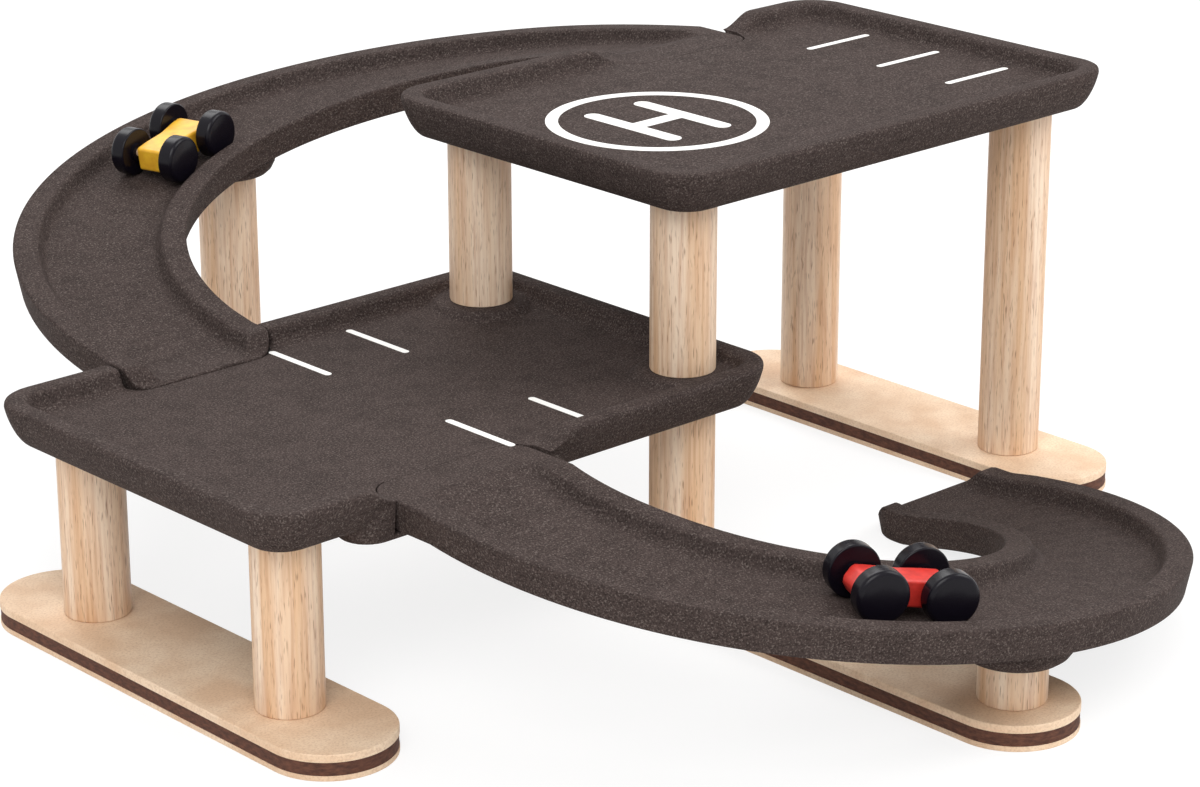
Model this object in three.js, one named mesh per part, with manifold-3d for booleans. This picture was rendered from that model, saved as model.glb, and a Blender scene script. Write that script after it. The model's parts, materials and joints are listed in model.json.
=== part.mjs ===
// A wooden toy parking garage: two parking decks on dowel posts, joined by two half-turn ramps,
// with two small cars. Millimetres, +Z up. The origin lies on the ground below the garage's centre.
// The decks reach along X, the base plates along Y, and the upper deck lies on the +X side.

import * as THREE from 'three'
import { mergeVertices } from 'three/addons/utils/BufferGeometryUtils.js'
import Module from 'manifold-3d'

const wasm = await Module()
wasm.setup()

// Layout of the posts
const rowSpacing = 227
const pairSpacing = 138

// Posts, dowel pins and screws
const postDiameter = 30
const postChamfer = 0.8
const lowerPostLength = 80
const pinDiameter = 8
const pinChamfer = 0.6
const pinPostDepth = 8
const pinDeckDepth = 7
const screwDiameter = 4
const screwLength = 35
const screwPinGap = 2.7
const screwHeadDiameter = 8
const screwHeadLip = 0.4
const screwPointLength = 3
const screwRecess = 0.3
const crossSlotLength = 4.4
const crossSlotWidth = 1
const crossSlotDepth = 1.2

// Base plates, each a board of three layers
const plateWidth = 58
const plateOverhang = 55
const plateBackThickness = 2.5
const plateCoreThickness = 6
const plateFaceThickness = 3.5
const plateEdgeChamfer = 0.6
const plateCoreInset = 0.3

// Decks
const deckEndOverhang = 31.5
const deckSideOverhang = 33
const deckFloorThickness = 11.3
const deckRimHeight = 8.4
const deckRimWidth = 9
const deckRimSlope = 3.8
const deckDraft = 7.6
const deckBelly = 1.6
const deckBellyHeightShare = 0.45
const deckCornerRadius = 22
const deckEdgeRadius = 0.9
const collarRise = 4
const collarTopRadius = 21
const collarFootRadius = 24.5
const ledgeWall = 3.3
const ledgeOverhang = 18
const ledgeDraft = 2
const ledgeInnerWall = 10
const ledgeTopDrop = 2

// Ramps
const rampWidth = 83
const rampDepth = 16
const rampFloorThickness = 8
const rampRimWidth = 12
const rampRimSlope = 3.8
const rampRimGrowth = 80
const rampDraft = 3
const rampEdgeRadius = 0.8
const rampPlateGap = 5
const rampTurnOffset = 15
const tongueLength = 22
const tongueThickness = 15
const toeSeatDepth = 7
const toeRise = 1.2
const tongueCornerRadius = 11
const toeCornerRadius = 17
const channelDipLength = 30
const toeRimFade = 12
const bossDrop = 14.5
const bossFootOverhang = 3
const bossTopRadius = 26.5
const bossTopSink = 3

// Cars
const wheelDiameter = 23.5
const wheelThickness = 8
const wheelEdgeRadius = 2
const wheelDome = 0.5
const hubDiameter = 9
const hubLength = 1
const wheelbase = 31.3
const carSideRoom = 6.2
const rimOverlapShare = 0.4
const axleDiameter = 4
const axleSeatDepth = 5
const bodyClearance = 4
const bodyHeight = 12
const bodyFrontOverhang = 3.9
const bodyRearOverhang = 2.9
const bodyTailLength = 4
const bodyTailHeight = 3
const bodyWheelGap = 1.5
const bodyWaistShare = 0.78
const bodyShoulderShare = 0.86
const bodyFrontShare = 0.8
const bodyChamfer = 1.6
const carRideGap = 0.5
const redCarTurn = THREE.MathUtils.degToRad(66.5)
const yellowCarTurn = THREE.MathUtils.degToRad(105.9)

// Fits
const seatClearance = 0.3
const pinClearance = 0.05
const screwClearance = 0.08
const pressClearance = 0.03
const axleClearance = 0.09
const endClearance = 0.4
const cutOverrun = 2

// Facets
const postSides = 20
const pinSides = 10
const wheelSides = 18
const cornerSteps = 5
const plateEndSteps = 7
const turnSteps = 32
const endSteps = 4

// Heights and places that follow
const postRadius = postDiameter / 2
const plateThickness = plateBackThickness + plateCoreThickness + plateFaceThickness
const deckHeight = deckFloorThickness + deckRimHeight
const lowerDeckBottom = plateThickness + lowerPostLength
const lowerFloor = lowerDeckBottom + deckFloorThickness
const storeyRise = lowerFloor - toeSeatDepth
const upperDeckBottom = lowerDeckBottom + storeyRise
const collarTop = lowerFloor + collarRise
const upperPostLength = upperDeckBottom - collarTop
const tallPostLength = upperDeckBottom - plateThickness
const deckLength = rowSpacing + 2 * deckEndOverhang
const deckWidth = pairSpacing + 2 * deckSideOverhang
const deckEdge = deckWidth / 2
const rampEnd = deckEdge - tongueLength
const turnReach = deckEdge + rampTurnOffset
const rampRadius = rowSpacing - plateWidth / 2 - rampPlateGap - rampWidth / 2
const rampPostReach = turnReach + rampRadius
const tongueBottom = lowerFloor - tongueThickness
const rampSlope = tongueBottom / (Math.PI * rampRadius + rampTurnOffset)

// Materials
const composite = { color: 0x564c4a, roughness: 0.85, metalness: 0 }
const paleWood = { color: 0xdfbc96, roughness: 0.6, metalness: 0 }
const boardFace = { color: 0xd9b994, roughness: 0.6, metalness: 0 }
const boardCore = { color: 0x5a3a2e, roughness: 0.8, metalness: 0 }
const steel = { color: 0xb8babd, roughness: 0.35, metalness: 1 }
const redPaint = { color: 0xd8362e, roughness: 0.45, metalness: 0 }
const yellowPaint = { color: 0xe8ab28, roughness: 0.45, metalness: 0 }
const blackGloss = { color: 0x1e1a22, roughness: 0.2, metalness: 0 }

const garage = new THREE.Group()

function addMesh(parent, name, geometry, material) {
  const mesh = new THREE.Mesh(geometry, new THREE.MeshStandardMaterial(material))
  mesh.name = name
  parent.add(mesh)
  return mesh
}

// Turns a closed geometry into a solid that can be joined and cut.
function toSolid(geometry) {
  const bare = geometry.clone()
  bare.deleteAttribute('normal')
  bare.deleteAttribute('uv')
  const merged = mergeVertices(bare)
  const vertProperties = merged.attributes.position.array
  const triVerts = Uint32Array.from(merged.index.array)
  return new wasm.Manifold(new wasm.Mesh({ numProp: 3, vertProperties, triVerts }))
}

function toGeometry(solid) {
  const { vertProperties, triVerts } = solid.getMesh()
  const geometry = new THREE.BufferGeometry()
  geometry.setAttribute('position', new THREE.BufferAttribute(vertProperties, 3))
  geometry.setIndex(new THREE.BufferAttribute(triVerts, 1))
  return geometry
}

// Joins rings of equal point count into one closed skin, with a fan over each end.
function loft(rings) {
  const count = rings[0].length
  const points = rings.flat()
  const index = []
  for (let ring = 0; ring < rings.length - 1; ring++) {
    for (let i = 0; i < count; i++) {
      const next = (i + 1) % count
      const a = ring * count + i
      const b = ring * count + next
      index.push(a, b, b + count, a, b + count, a + count)
    }
  }
  const addFan = (start, flip) => {
    const middle = new THREE.Vector3()
    const ring = points.slice(start, start + count)
    ring.forEach((point) => middle.addScaledVector(point, 1 / count))
    points.push(middle)
    for (let i = 0; i < count; i++) {
      const a = start + i
      const b = start + ((i + 1) % count)
      index.push(...(flip ? [b, a] : [a, b]), points.length - 1)
    }
  }
  const lastStart = (rings.length - 1) * count
  addFan(0, true)
  addFan(lastStart, false)
  const geometry = new THREE.BufferGeometry().setFromPoints(points)
  geometry.setIndex(index)
  return geometry
}

// Revolves a profile of [radius, height] pairs about Z.
function lathe(profile, sides) {
  const points = profile.map(([radius, height]) => new THREE.Vector2(radius, height))
  return new THREE.LatheGeometry(points, sides).rotateX(Math.PI / 2)
}

// Pushes a flat outline up along Z from one height to another.
function extrude(shape, bottom, top, curveSegments) {
  const settings = { depth: top - bottom, bevelEnabled: false, curveSegments }
  return new THREE.ExtrudeGeometry(shape, settings).translate(0, 0, bottom)
}

function ease(share) {
  const t = THREE.MathUtils.clamp(share, 0, 1)
  return t * t * (3 - 2 * t)
}

// Starts at once and ends gently.
function easeOut(share) {
  return Math.sin((Math.PI / 2) * THREE.MathUtils.clamp(share, 0, 1))
}

// A ring round a rectangle with round corners, counter-clockwise seen from above.
function roundedRing(length, width, radius, inset, z) {
  const round = Math.max(radius - inset, seatClearance)
  const reachX = length / 2 - inset - round
  const reachY = width / 2 - inset - round
  const ring = []
  const corners = [[1, 1], [-1, 1], [-1, -1], [1, -1]]
  corners.forEach(([signX, signY], corner) => {
    for (let step = 0; step <= cornerSteps; step++) {
      const angle = (corner + step / cornerSteps) * (Math.PI / 2)
      const x = signX * reachX + round * Math.cos(angle)
      const y = signY * reachY + round * Math.sin(angle)
      ring.push(new THREE.Vector3(x, y, z))
    }
  })
  return ring
}

// Screws and the holes that they need: the same profile, grown by a clearance.
function screwProfile(length, clearance) {
  const head = screwHeadDiameter / 2 + clearance
  const shank = screwDiameter / 2 + clearance
  const neck = screwHeadLip + head - shank
  const foot = clearance > 0 ? -cutOverrun : 0
  return [
    [0, foot],
    [head, foot],
    [head, screwHeadLip],
    [shank, neck],
    [shank, length - screwPointLength],
    [0, length + clearance],
  ]
}

function crossSlot() {
  const depth = crossSlotDepth + cutOverrun
  const arm = new THREE.BoxGeometry(crossSlotLength, crossSlotWidth, depth)
  const bar = toSolid(arm.clone().translate(0, 0, crossSlotDepth - depth / 2))
  const cross = toSolid(arm.rotateZ(Math.PI / 2).translate(0, 0, crossSlotDepth - depth / 2))
  return bar.add(cross)
}

function screwGeometry(length) {
  const blank = toSolid(lathe(screwProfile(length, 0), pinSides))
  return toGeometry(blank.subtract(crossSlot()))
}

// A post with a hole for a screw or a pin in its foot and a hole for a pin in its head.
function postGeometry(length, footHoleRadius, footHoleDepth) {
  const pinHole = pinDiameter / 2 + pinClearance
  const pinHoleBottom = length - pinPostDepth - endClearance
  return lathe([
    [0, footHoleDepth],
    [footHoleRadius, footHoleDepth],
    [footHoleRadius, 0],
    [postRadius - postChamfer, 0],
    [postRadius, postChamfer],
    [postRadius, length - postChamfer],
    [postRadius - postChamfer, length],
    [pinHole, length],
    [pinHole, pinHoleBottom],
    [0, pinHoleBottom],
  ], postSides)
}

function screwedPost(name, x, y, length, screw) {
  const hole = screwDiameter / 2 + screwClearance
  const depth = screwRecess + screw - plateThickness + endClearance
  const post = addMesh(garage, name, postGeometry(length, hole, depth), paleWood)
  post.position.set(x, y, plateThickness)
}

function dowelPin(name, x, y, bottom, top) {
  const radius = pinDiameter / 2
  const length = top - bottom
  const profile = [
    [0, 0],
    [radius - pinChamfer, 0],
    [radius, pinChamfer],
    [radius, length - pinChamfer],
    [radius - pinChamfer, length],
    [0, length],
  ]
  const pin = addMesh(garage, name, lathe(profile, pinSides), paleWood)
  pin.position.set(x, y, bottom)
}

// Base plates
function plateShape(length, inset) {
  const radius = plateWidth / 2 - inset
  const reach = length / 2 - plateWidth / 2
  const shape = new THREE.Shape()
  shape.absarc(0, reach, radius, 0, Math.PI, false)
  shape.absarc(0, -reach, radius, Math.PI, 2 * Math.PI, false)
  return shape
}

function plateRing(length, inset, z) {
  const points = plateShape(length, inset).getPoints(plateEndSteps).slice(0, -1)
  return points.map((point) => new THREE.Vector3(point.x, point.y, z))
}

function basePlate(name, x, length, posts) {
  const faceBottom = plateThickness - plateFaceThickness
  const chamfer = plateEdgeChamfer
  const back = loft([
    plateRing(length, chamfer, 0),
    plateRing(length, 0, chamfer),
    plateRing(length, 0, plateBackThickness),
  ])
  const core = loft([
    plateRing(length, plateCoreInset, plateBackThickness),
    plateRing(length, plateCoreInset, faceBottom),
  ])
  const face = loft([
    plateRing(length, 0, faceBottom),
    plateRing(length, 0, plateThickness - chamfer),
    plateRing(length, chamfer, plateThickness),
  ])
  const holes = posts.map((y) => {
    const hole = lathe(screwProfile(screwLength, screwClearance), pinSides)
    return toSolid(hole.translate(0, y, screwRecess))
  })
  const layers = { back, core, face }
  for (const [layer, blank] of Object.entries(layers)) {
    const drilled = holes.reduce((solid, hole) => solid.subtract(hole), toSolid(blank))
    const material = layer === 'core' ? boardCore : boardFace
    addMesh(garage, `${name}_${layer}`, toGeometry(drilled), material).position.x = x
  }
}

const sidePlateLength = pairSpacing + 2 * plateOverhang
const middlePlateLength = 2 * rampPostReach + plateWidth
const pairReach = pairSpacing / 2
basePlate('left_plate', -rowSpacing, sidePlateLength, [-pairReach, pairReach])
basePlate('middle_plate', 0, middlePlateLength, [-rampPostReach, -pairReach, pairReach, rampPostReach])
basePlate('right_plate', rowSpacing, sidePlateLength, [-pairReach, pairReach])

function plateScrew(name, x, y, length) {
  addMesh(garage, name, screwGeometry(length), steel).position.set(x, y, screwRecess)
}

for (const [side, sign] of [['front', -1], ['back', 1]]) {
  const y = sign * pairReach
  plateScrew(`left_${side}_screw`, -rowSpacing, y, screwLength)
  plateScrew(`middle_${side}_screw`, 0, y, screwLength)
  plateScrew(`right_${side}_screw`, rowSpacing, y, screwLength)
}

// Ramp: its underside is level at the tongue, falls evenly from the start of the turn, and ends in a
// level foot.
const turnLength = Math.PI * rampRadius
const startLength = turnReach - rampEnd
const rampLength = turnLength + 2 * startLength
const footTravel = rampLength - tongueLength

function rampUnderside(travel) {
  const fall = rampSlope * Math.max(travel - startLength, 0)
  return Math.max(tongueBottom - fall, 0)
}

function channelFloor(travel) {
  const dip = easeOut((travel - tongueLength) / channelDipLength)
  const thickness = THREE.MathUtils.lerp(tongueThickness, rampFloorThickness, dip)
  const foot = ease((travel - footTravel) / tongueLength)
  const toeHeight = toeSeatDepth + toeRise
  return rampUnderside(travel) + THREE.MathUtils.lerp(thickness, toeHeight, foot)
}

// The top of both rims, which come up out of the floor after the tongue and sink into it at the toe.
function rimTop(travel) {
  const growth = ease((travel - startLength) / rampRimGrowth)
  const height = THREE.MathUtils.lerp(tongueThickness, rampDepth, growth)
  const floor = channelFloor(travel)
  const rise = rampUnderside(travel) + height - floor
  return floor + rise * ease((rampLength - travel) / toeRimFade)
}

// The place and outward direction at a distance along the ramp's centre line.
function rampPlace(travel) {
  if (travel <= startLength) {
    const origin = new THREE.Vector3(-rampRadius, -rampEnd - travel, 0)
    return { origin, outward: new THREE.Vector3(-1, 0, 0) }
  }
  if (travel >= startLength + turnLength) {
    const back = travel - startLength - turnLength
    const origin = new THREE.Vector3(rampRadius, -turnReach + back, 0)
    return { origin, outward: new THREE.Vector3(1, 0, 0) }
  }
  const angle = Math.PI + (travel - startLength) / rampRadius
  const outward = new THREE.Vector3(Math.cos(angle), Math.sin(angle), 0)
  const origin = outward.clone().multiplyScalar(rampRadius)
  origin.y -= turnReach
  return { origin, outward }
}

function rampSection(travel) {
  const { origin, outward } = rampPlace(travel)
  const half = rampWidth / 2
  const foot = half - rampDraft
  const rimInside = half - rampRimWidth
  const floorReach = rimInside - rampRimSlope
  const edge = rampEdgeRadius
  const bottom = rampUnderside(travel)
  const floor = channelFloor(travel)
  const rim = rimTop(travel)
  const outline = [
    [-foot + edge, bottom],
    [-foot, bottom + edge],
    [-half, rim - edge],
    [-half + edge, rim],
    [-rimInside, rim],
    [-floorReach, floor],
    [floorReach, floor],
    [rimInside, rim],
    [half - edge, rim],
    [half, rim - edge],
    [foot, bottom + edge],
    [foot - edge, bottom],
  ]
  return outline.map(([across, height]) => {
    return origin.clone().addScaledVector(outward, across).setZ(height)
  })
}

function rampTravels() {
  const travels = []
  for (let step = 0; step < endSteps; step++) {
    travels.push((tongueLength * step) / endSteps)
  }
  for (let step = 0; step < endSteps; step++) {
    travels.push(tongueLength + (rampTurnOffset * step) / endSteps)
  }
  for (let step = 0; step <= turnSteps; step++) {
    travels.push(startLength + (turnLength * step) / turnSteps)
  }
  const mirrored = travels.slice(0, 2 * endSteps).map((travel) => rampLength - travel)
  return [...travels, ...mirrored.reverse()]
}

// What a round corner takes off the end of the ramp: the corner lies at the origin, the ramp's end
// edge runs along -X and its side along +Y.
function cornerCutter(radius) {
  const shape = new THREE.Shape()
  shape.moveTo(cutOverrun, -cutOverrun)
  shape.lineTo(cutOverrun, radius)
  shape.lineTo(0, radius)
  shape.absarc(-radius, radius, radius, 0, -Math.PI / 2, true)
  shape.lineTo(-radius, -cutOverrun)
  const settings = { depth: lowerFloor + rampDepth, bevelEnabled: false, curveSegments: cornerSteps }
  return new THREE.ExtrudeGeometry(shape, settings).translate(0, 0, -cutOverrun)
}

function mirroredX(geometry) {
  const mirrored = geometry.clone().scale(-1, 1, 1)
  const bare = mirrored.index ? mirrored.toNonIndexed() : mirrored
  const place = bare.attributes.position
  for (let i = 0; i < place.count; i += 3) {
    const first = new THREE.Vector3().fromBufferAttribute(place, i)
    const second = new THREE.Vector3().fromBufferAttribute(place, i + 1)
    place.setXYZ(i, second.x, second.y, second.z)
    place.setXYZ(i + 1, first.x, first.y, first.z)
  }
  return bare
}

// The boss over a ramp's post: round, wider upwards, its top following the slope inside the ramp.
const bossTravel = startLength + turnLength / 2
const bossMiddle = rampUnderside(bossTravel)
const bossBottom = bossMiddle - bossDrop
const bossShares = [[0, 0], [0.35, 0.06], [0.65, 0.17], [0.86, 0.34], [0.96, 0.57], [1, 1]]

function bossGeometry() {
  const footRadius = postRadius + bossFootOverhang
  const rings = bossShares.map(([widthShare, heightShare]) => {
    const radius = THREE.MathUtils.lerp(footRadius, bossTopRadius, widthShare)
    const ring = []
    for (let side = 0; side < postSides; side++) {
      const angle = (2 * Math.PI * side) / postSides
      const x = radius * Math.cos(angle)
      const topHere = bossMiddle + bossTopSink - rampSlope * x
      const z = THREE.MathUtils.lerp(bossBottom, topHere, heightShare)
      ring.push(new THREE.Vector3(x, radius * Math.sin(angle) - rampPostReach, z))
    }
    return ring
  })
  return loft(rings)
}

function pinHole(x, y, bottom, top) {
  const radius = pinDiameter / 2 + pinClearance
  const profile = [[0, bottom], [radius, bottom], [radius, top], [0, top]]
  return toSolid(lathe(profile, postSides).translate(x, y, 0))
}

function rampGeometry() {
  let ramp = toSolid(loft(rampTravels().map(rampSection)))
  ramp = ramp.add(toSolid(bossGeometry()))
  const pinTop = bossBottom + pinDeckDepth + endClearance
  ramp = ramp.subtract(pinHole(0, -rampPostReach, bossBottom - cutOverrun, pinTop))
  const half = rampWidth / 2
  const ends = [[-rampRadius, tongueCornerRadius], [rampRadius, toeCornerRadius]]
  for (const [x, radius] of ends) {
    const corner = cornerCutter(radius).rotateX(Math.PI).translate(0, 0, lowerFloor)
    ramp = ramp.subtract(toSolid(corner.clone().translate(x + half, -rampEnd, 0)))
    ramp = ramp.subtract(toSolid(mirroredX(corner).translate(x - half, -rampEnd, 0)))
  }
  return toGeometry(ramp)
}

// Decks, drawn as the lower one; the upper one is turned half round.
const deckMiddle = -rowSpacing / 2

// How far the outer wall lies inside the deck's edge at a height: it leans in to the bottom and
// swells a little on the way.
const bellyHeight = deckHeight * deckBellyHeightShare

function deckWallInset(z) {
  const lean = deckDraft * (1 - z / deckHeight)
  const fromEnd = z < bellyHeight ? z / bellyHeight : (deckHeight - z) / (deckHeight - bellyHeight)
  return lean - deckBelly * fromEnd
}

function deckBlank() {
  const ringAt = (inset, z) => roundedRing(deckLength, deckWidth, deckCornerRadius, inset, z)
  const edge = deckEdgeRadius
  const rimInside = edge + deckRimWidth
  const floorInset = rimInside + deckRimSlope
  return loft([
    ringAt(deckDraft + edge, 0),
    ringAt(deckWallInset(edge), edge),
    ringAt(deckWallInset(bellyHeight), bellyHeight),
    ringAt(0, deckHeight - edge),
    ringAt(edge, deckHeight),
    ringAt(rimInside, deckHeight),
    ringAt(floorInset, deckFloorThickness),
  ]).translate(deckMiddle, 0, 0)
}

// The outline of the pocket for one end of a ramp, open past the deck's edge at -Y.
function pocketShape(cornerRadius) {
  const half = rampWidth / 2 + seatClearance
  const inner = -rampEnd + seatClearance
  const radius = cornerRadius + seatClearance
  const outer = -deckEdge - cutOverrun
  const shape = new THREE.Shape()
  shape.moveTo(-half, outer)
  shape.lineTo(half, outer)
  shape.absarc(half - radius, inner - radius, radius, 0, Math.PI / 2, false)
  shape.absarc(-half + radius, inner - radius, radius, Math.PI / 2, Math.PI, false)
  return shape
}

function pocket(cornerRadius, floor) {
  const top = deckHeight + cutOverrun
  const cutter = extrude(pocketShape(cornerRadius), floor, top, cornerSteps)
  return cutter.translate(-rampRadius, 0, 0)
}

// The ledge under the ramp's tongue: its outer face meets the deck's wall at the ledge's top.
function ledgeGeometry() {
  const top = deckFloorThickness - ledgeTopDrop
  const bottom = deckFloorThickness - tongueThickness - ledgeWall
  const half = rampWidth / 2 + ledgeOverhang
  const outer = deckEdge - deckWallInset(top)
  const inner = rampEnd - ledgeInnerWall
  const width = outer - inner
  const round = width / 2 - deckEdgeRadius
  const middle = -(outer + inner) / 2
  const rings = [
    roundedRing(2 * half, width, round, ledgeDraft + deckEdgeRadius, bottom),
    roundedRing(2 * half, width, round, ledgeDraft, bottom + deckEdgeRadius),
    roundedRing(2 * half, width, round, 0, top),
  ]
  return loft(rings).translate(-rampRadius, middle, 0)
}

function collarGeometry(y) {
  const seat = deckFloorThickness + collarRise
  const profile = [
    [0, deckFloorThickness - collarRise],
    [collarFootRadius, deckFloorThickness - collarRise],
    [collarFootRadius, deckFloorThickness],
    [collarTopRadius, seat],
    [0, seat],
  ]
  return lathe(profile, postSides).translate(0, y, 0)
}

function deckGeometry(isLower) {
  let deck = toSolid(deckBlank()).add(toSolid(ledgeGeometry()))
  const holeTop = pinDeckDepth + endClearance
  const throughTop = deckHeight + cutOverrun
  for (const y of [-pairReach, pairReach]) {
    if (isLower) deck = deck.add(toSolid(collarGeometry(y)))
    deck = deck.subtract(pinHole(0, y, -cutOverrun, isLower ? throughTop : holeTop))
    deck = deck.subtract(pinHole(-rowSpacing, y, -cutOverrun, holeTop))
  }
  deck = deck.subtract(toSolid(pocket(tongueCornerRadius, deckFloorThickness - tongueThickness)))
  if (isLower) {
    const toe = pocket(toeCornerRadius, deckFloorThickness - toeSeatDepth)
    deck = deck.subtract(toSolid(toe.rotateZ(Math.PI).translate(-2 * rampRadius, 0, 0)))
  }
  return toGeometry(deck)
}

const lowerDeck = addMesh(garage, 'lower_deck', deckGeometry(true), composite)
lowerDeck.position.z = lowerDeckBottom
const upperDeck = addMesh(garage, 'upper_deck', deckGeometry(false), composite)
upperDeck.position.z = upperDeckBottom
upperDeck.rotation.z = Math.PI

addMesh(garage, 'lower_ramp', rampGeometry(), composite)
const upperRamp = addMesh(garage, 'upper_ramp', rampGeometry(), composite)
upperRamp.position.z = storeyRise
upperRamp.rotation.z = Math.PI

// Posts and the pins in them
const sides = [['front', -1], ['back', 1]]
for (const [side, sign] of sides) {
  const y = sign * pairReach
  screwedPost(`left_${side}_post`, -rowSpacing, y, lowerPostLength, screwLength)
  screwedPost(`middle_${side}_lower_post`, 0, y, lowerPostLength, screwLength)
  screwedPost(`right_${side}_tall_post`, rowSpacing, y, tallPostLength, screwLength)
  const pinHoleRadius = pinDiameter / 2 + pinClearance
  const upperPost = postGeometry(upperPostLength, pinHoleRadius, pinPostDepth + endClearance)
  const post = addMesh(garage, `middle_${side}_upper_post`, upperPost, paleWood)
  post.position.set(0, y, collarTop)
  const lowerPinTop = lowerDeckBottom + pinDeckDepth
  const upperPinTop = upperDeckBottom + pinDeckDepth
  const lowerPinBottom = lowerDeckBottom - pinPostDepth
  const upperPinBottom = upperDeckBottom - pinPostDepth
  dowelPin(`left_${side}_pin`, -rowSpacing, y, lowerPinBottom, lowerPinTop)
  dowelPin(`middle_${side}_through_pin`, 0, y, lowerPinBottom, collarTop + pinPostDepth)
  dowelPin(`middle_${side}_upper_pin`, 0, y, upperPinBottom, upperPinTop)
  dowelPin(`right_${side}_pin`, rowSpacing, y, upperPinBottom, upperPinTop)
}

// The front ramp's post is short, so its screw ends a gap below the pin in the post's head.
const shortScrewLength = bossBottom - pinPostDepth - screwPinGap - screwRecess
plateScrew('front_ramp_post_screw', 0, -rampPostReach, shortScrewLength)
plateScrew('back_ramp_post_screw', 0, rampPostReach, screwLength)
const frontRampPostLength = bossBottom - plateThickness
const backRampPostLength = frontRampPostLength + storeyRise
screwedPost('front_ramp_post', 0, -rampPostReach, frontRampPostLength, shortScrewLength)
screwedPost('back_ramp_post', 0, rampPostReach, backRampPostLength, screwLength)
for (const [name, y, base] of [
  ['front_ramp_pin', -rampPostReach, bossBottom],
  ['back_ramp_pin', rampPostReach, bossBottom + storeyRise],
]) {
  dowelPin(name, 0, y, base - pinPostDepth, base + pinDeckDepth)
}

// Cars: +X is forward, the wheels stand on Z = 0, and the axles run along Y. They are as wide as the
// ramp's channel leaves room for.
const channelReach = rampWidth / 2 - rampRimWidth - rampRimSlope
const wheelTrack = 2 * (channelReach - carSideRoom) - wheelThickness
const bodyRearWidth = wheelTrack - wheelThickness - 2 * bodyWheelGap
const bodyWaistWidth = bodyRearWidth * bodyWaistShare
const bodyShoulderWidth = bodyRearWidth * bodyShoulderShare
const bodyFrontWidth = bodyRearWidth * bodyFrontShare
const wheelRadius = wheelDiameter / 2
const axleRadius = axleDiameter / 2
const axleReach = wheelTrack / 2 - wheelThickness / 2 + axleSeatDepth

// Revolves a profile of [radius, distance] pairs about Y.
function latheAcross(profile) {
  const points = profile.map(([radius, across]) => new THREE.Vector2(radius, across))
  return new THREE.LatheGeometry(points, wheelSides)
}

function wheelGeometry() {
  const inner = wheelTrack / 2 - wheelThickness / 2
  const outer = inner + wheelThickness
  const bore = axleRadius + pressClearance
  const hub = hubDiameter / 2
  const edge = wheelEdgeRadius
  const bend = edge * (1 - Math.SQRT1_2)
  return latheAcross([
    [0, axleReach + endClearance],
    [bore, axleReach + endClearance],
    [bore, inner - hubLength],
    [hub, inner - hubLength],
    [hub, inner],
    [wheelRadius - edge / 2, inner],
    [wheelRadius, inner + edge / 2],
    [wheelRadius, outer - wheelDome - edge],
    [wheelRadius - bend, outer - wheelDome - bend],
    [wheelRadius - edge, outer - wheelDome],
    [0, outer],
  ])
}

function axleGeometry() {
  return latheAcross([
    [0, -axleReach],
    [axleRadius, -axleReach],
    [axleRadius, axleReach],
    [0, axleReach],
  ])
}

function bodyRing(x, width, bottom, top, chamfer) {
  const half = width / 2
  const outline = [
    [-half + chamfer, bottom],
    [half - chamfer, bottom],
    [half, bottom + chamfer],
    [half, top - chamfer],
    [half - chamfer, top],
    [-half + chamfer, top],
    [-half, top - chamfer],
    [-half, bottom + chamfer],
  ]
  return outline.map(([across, height]) => new THREE.Vector3(x, across, height))
}

function bodyGeometry() {
  const bottom = bodyClearance
  const top = bodyClearance + bodyHeight
  const middle = (bottom + top) / 2
  const front = wheelbase / 2 + bodyFrontOverhang
  const rear = -wheelbase / 2 - bodyRearOverhang
  const shoulder = wheelbase / 2 - wheelRadius / 4
  const tail = bodyTailHeight / 2
  const rings = [
    bodyRing(rear - bodyTailLength, bodyWaistWidth, middle - tail, middle + tail, tail / 2),
    bodyRing(rear, bodyRearWidth, bottom, top, bodyChamfer),
    bodyRing(-shoulder, bodyRearWidth, bottom, top, bodyChamfer),
    bodyRing(0, bodyWaistWidth, bottom, top, bodyChamfer),
    bodyRing(shoulder, bodyShoulderWidth, bottom, top, bodyChamfer),
    bodyRing(front, bodyFrontWidth, bottom, top, bodyChamfer),
  ]
  const bore = axleRadius + axleClearance
  const profile = [
    [0, -bodyRearWidth],
    [bore, -bodyRearWidth],
    [bore, bodyRearWidth],
    [0, bodyRearWidth],
  ]
  let body = toSolid(loft(rings))
  for (const x of [-wheelbase / 2, wheelbase / 2]) {
    body = body.subtract(toSolid(latheAcross(profile).translate(x, 0, wheelRadius)))
  }
  return toGeometry(body)
}

function makeCar(name, paint) {
  const car = new THREE.Group()
  addMesh(car, `${name}_body`, bodyGeometry(), paint)
  for (const [end, x] of [['front', wheelbase / 2], ['rear', -wheelbase / 2]]) {
    const axle = addMesh(car, `${name}_${end}_axle`, axleGeometry(), paleWood)
    axle.position.set(x, 0, wheelRadius)
    for (const [side, turn] of [['left', 0], ['right', Math.PI]]) {
      const wheel = addMesh(car, `${name}_${end}_${side}_wheel`, wheelGeometry(), blackGloss)
      wheel.position.set(x, 0, wheelRadius)
      wheel.rotation.z = turn
    }
  }
  return car
}

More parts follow.
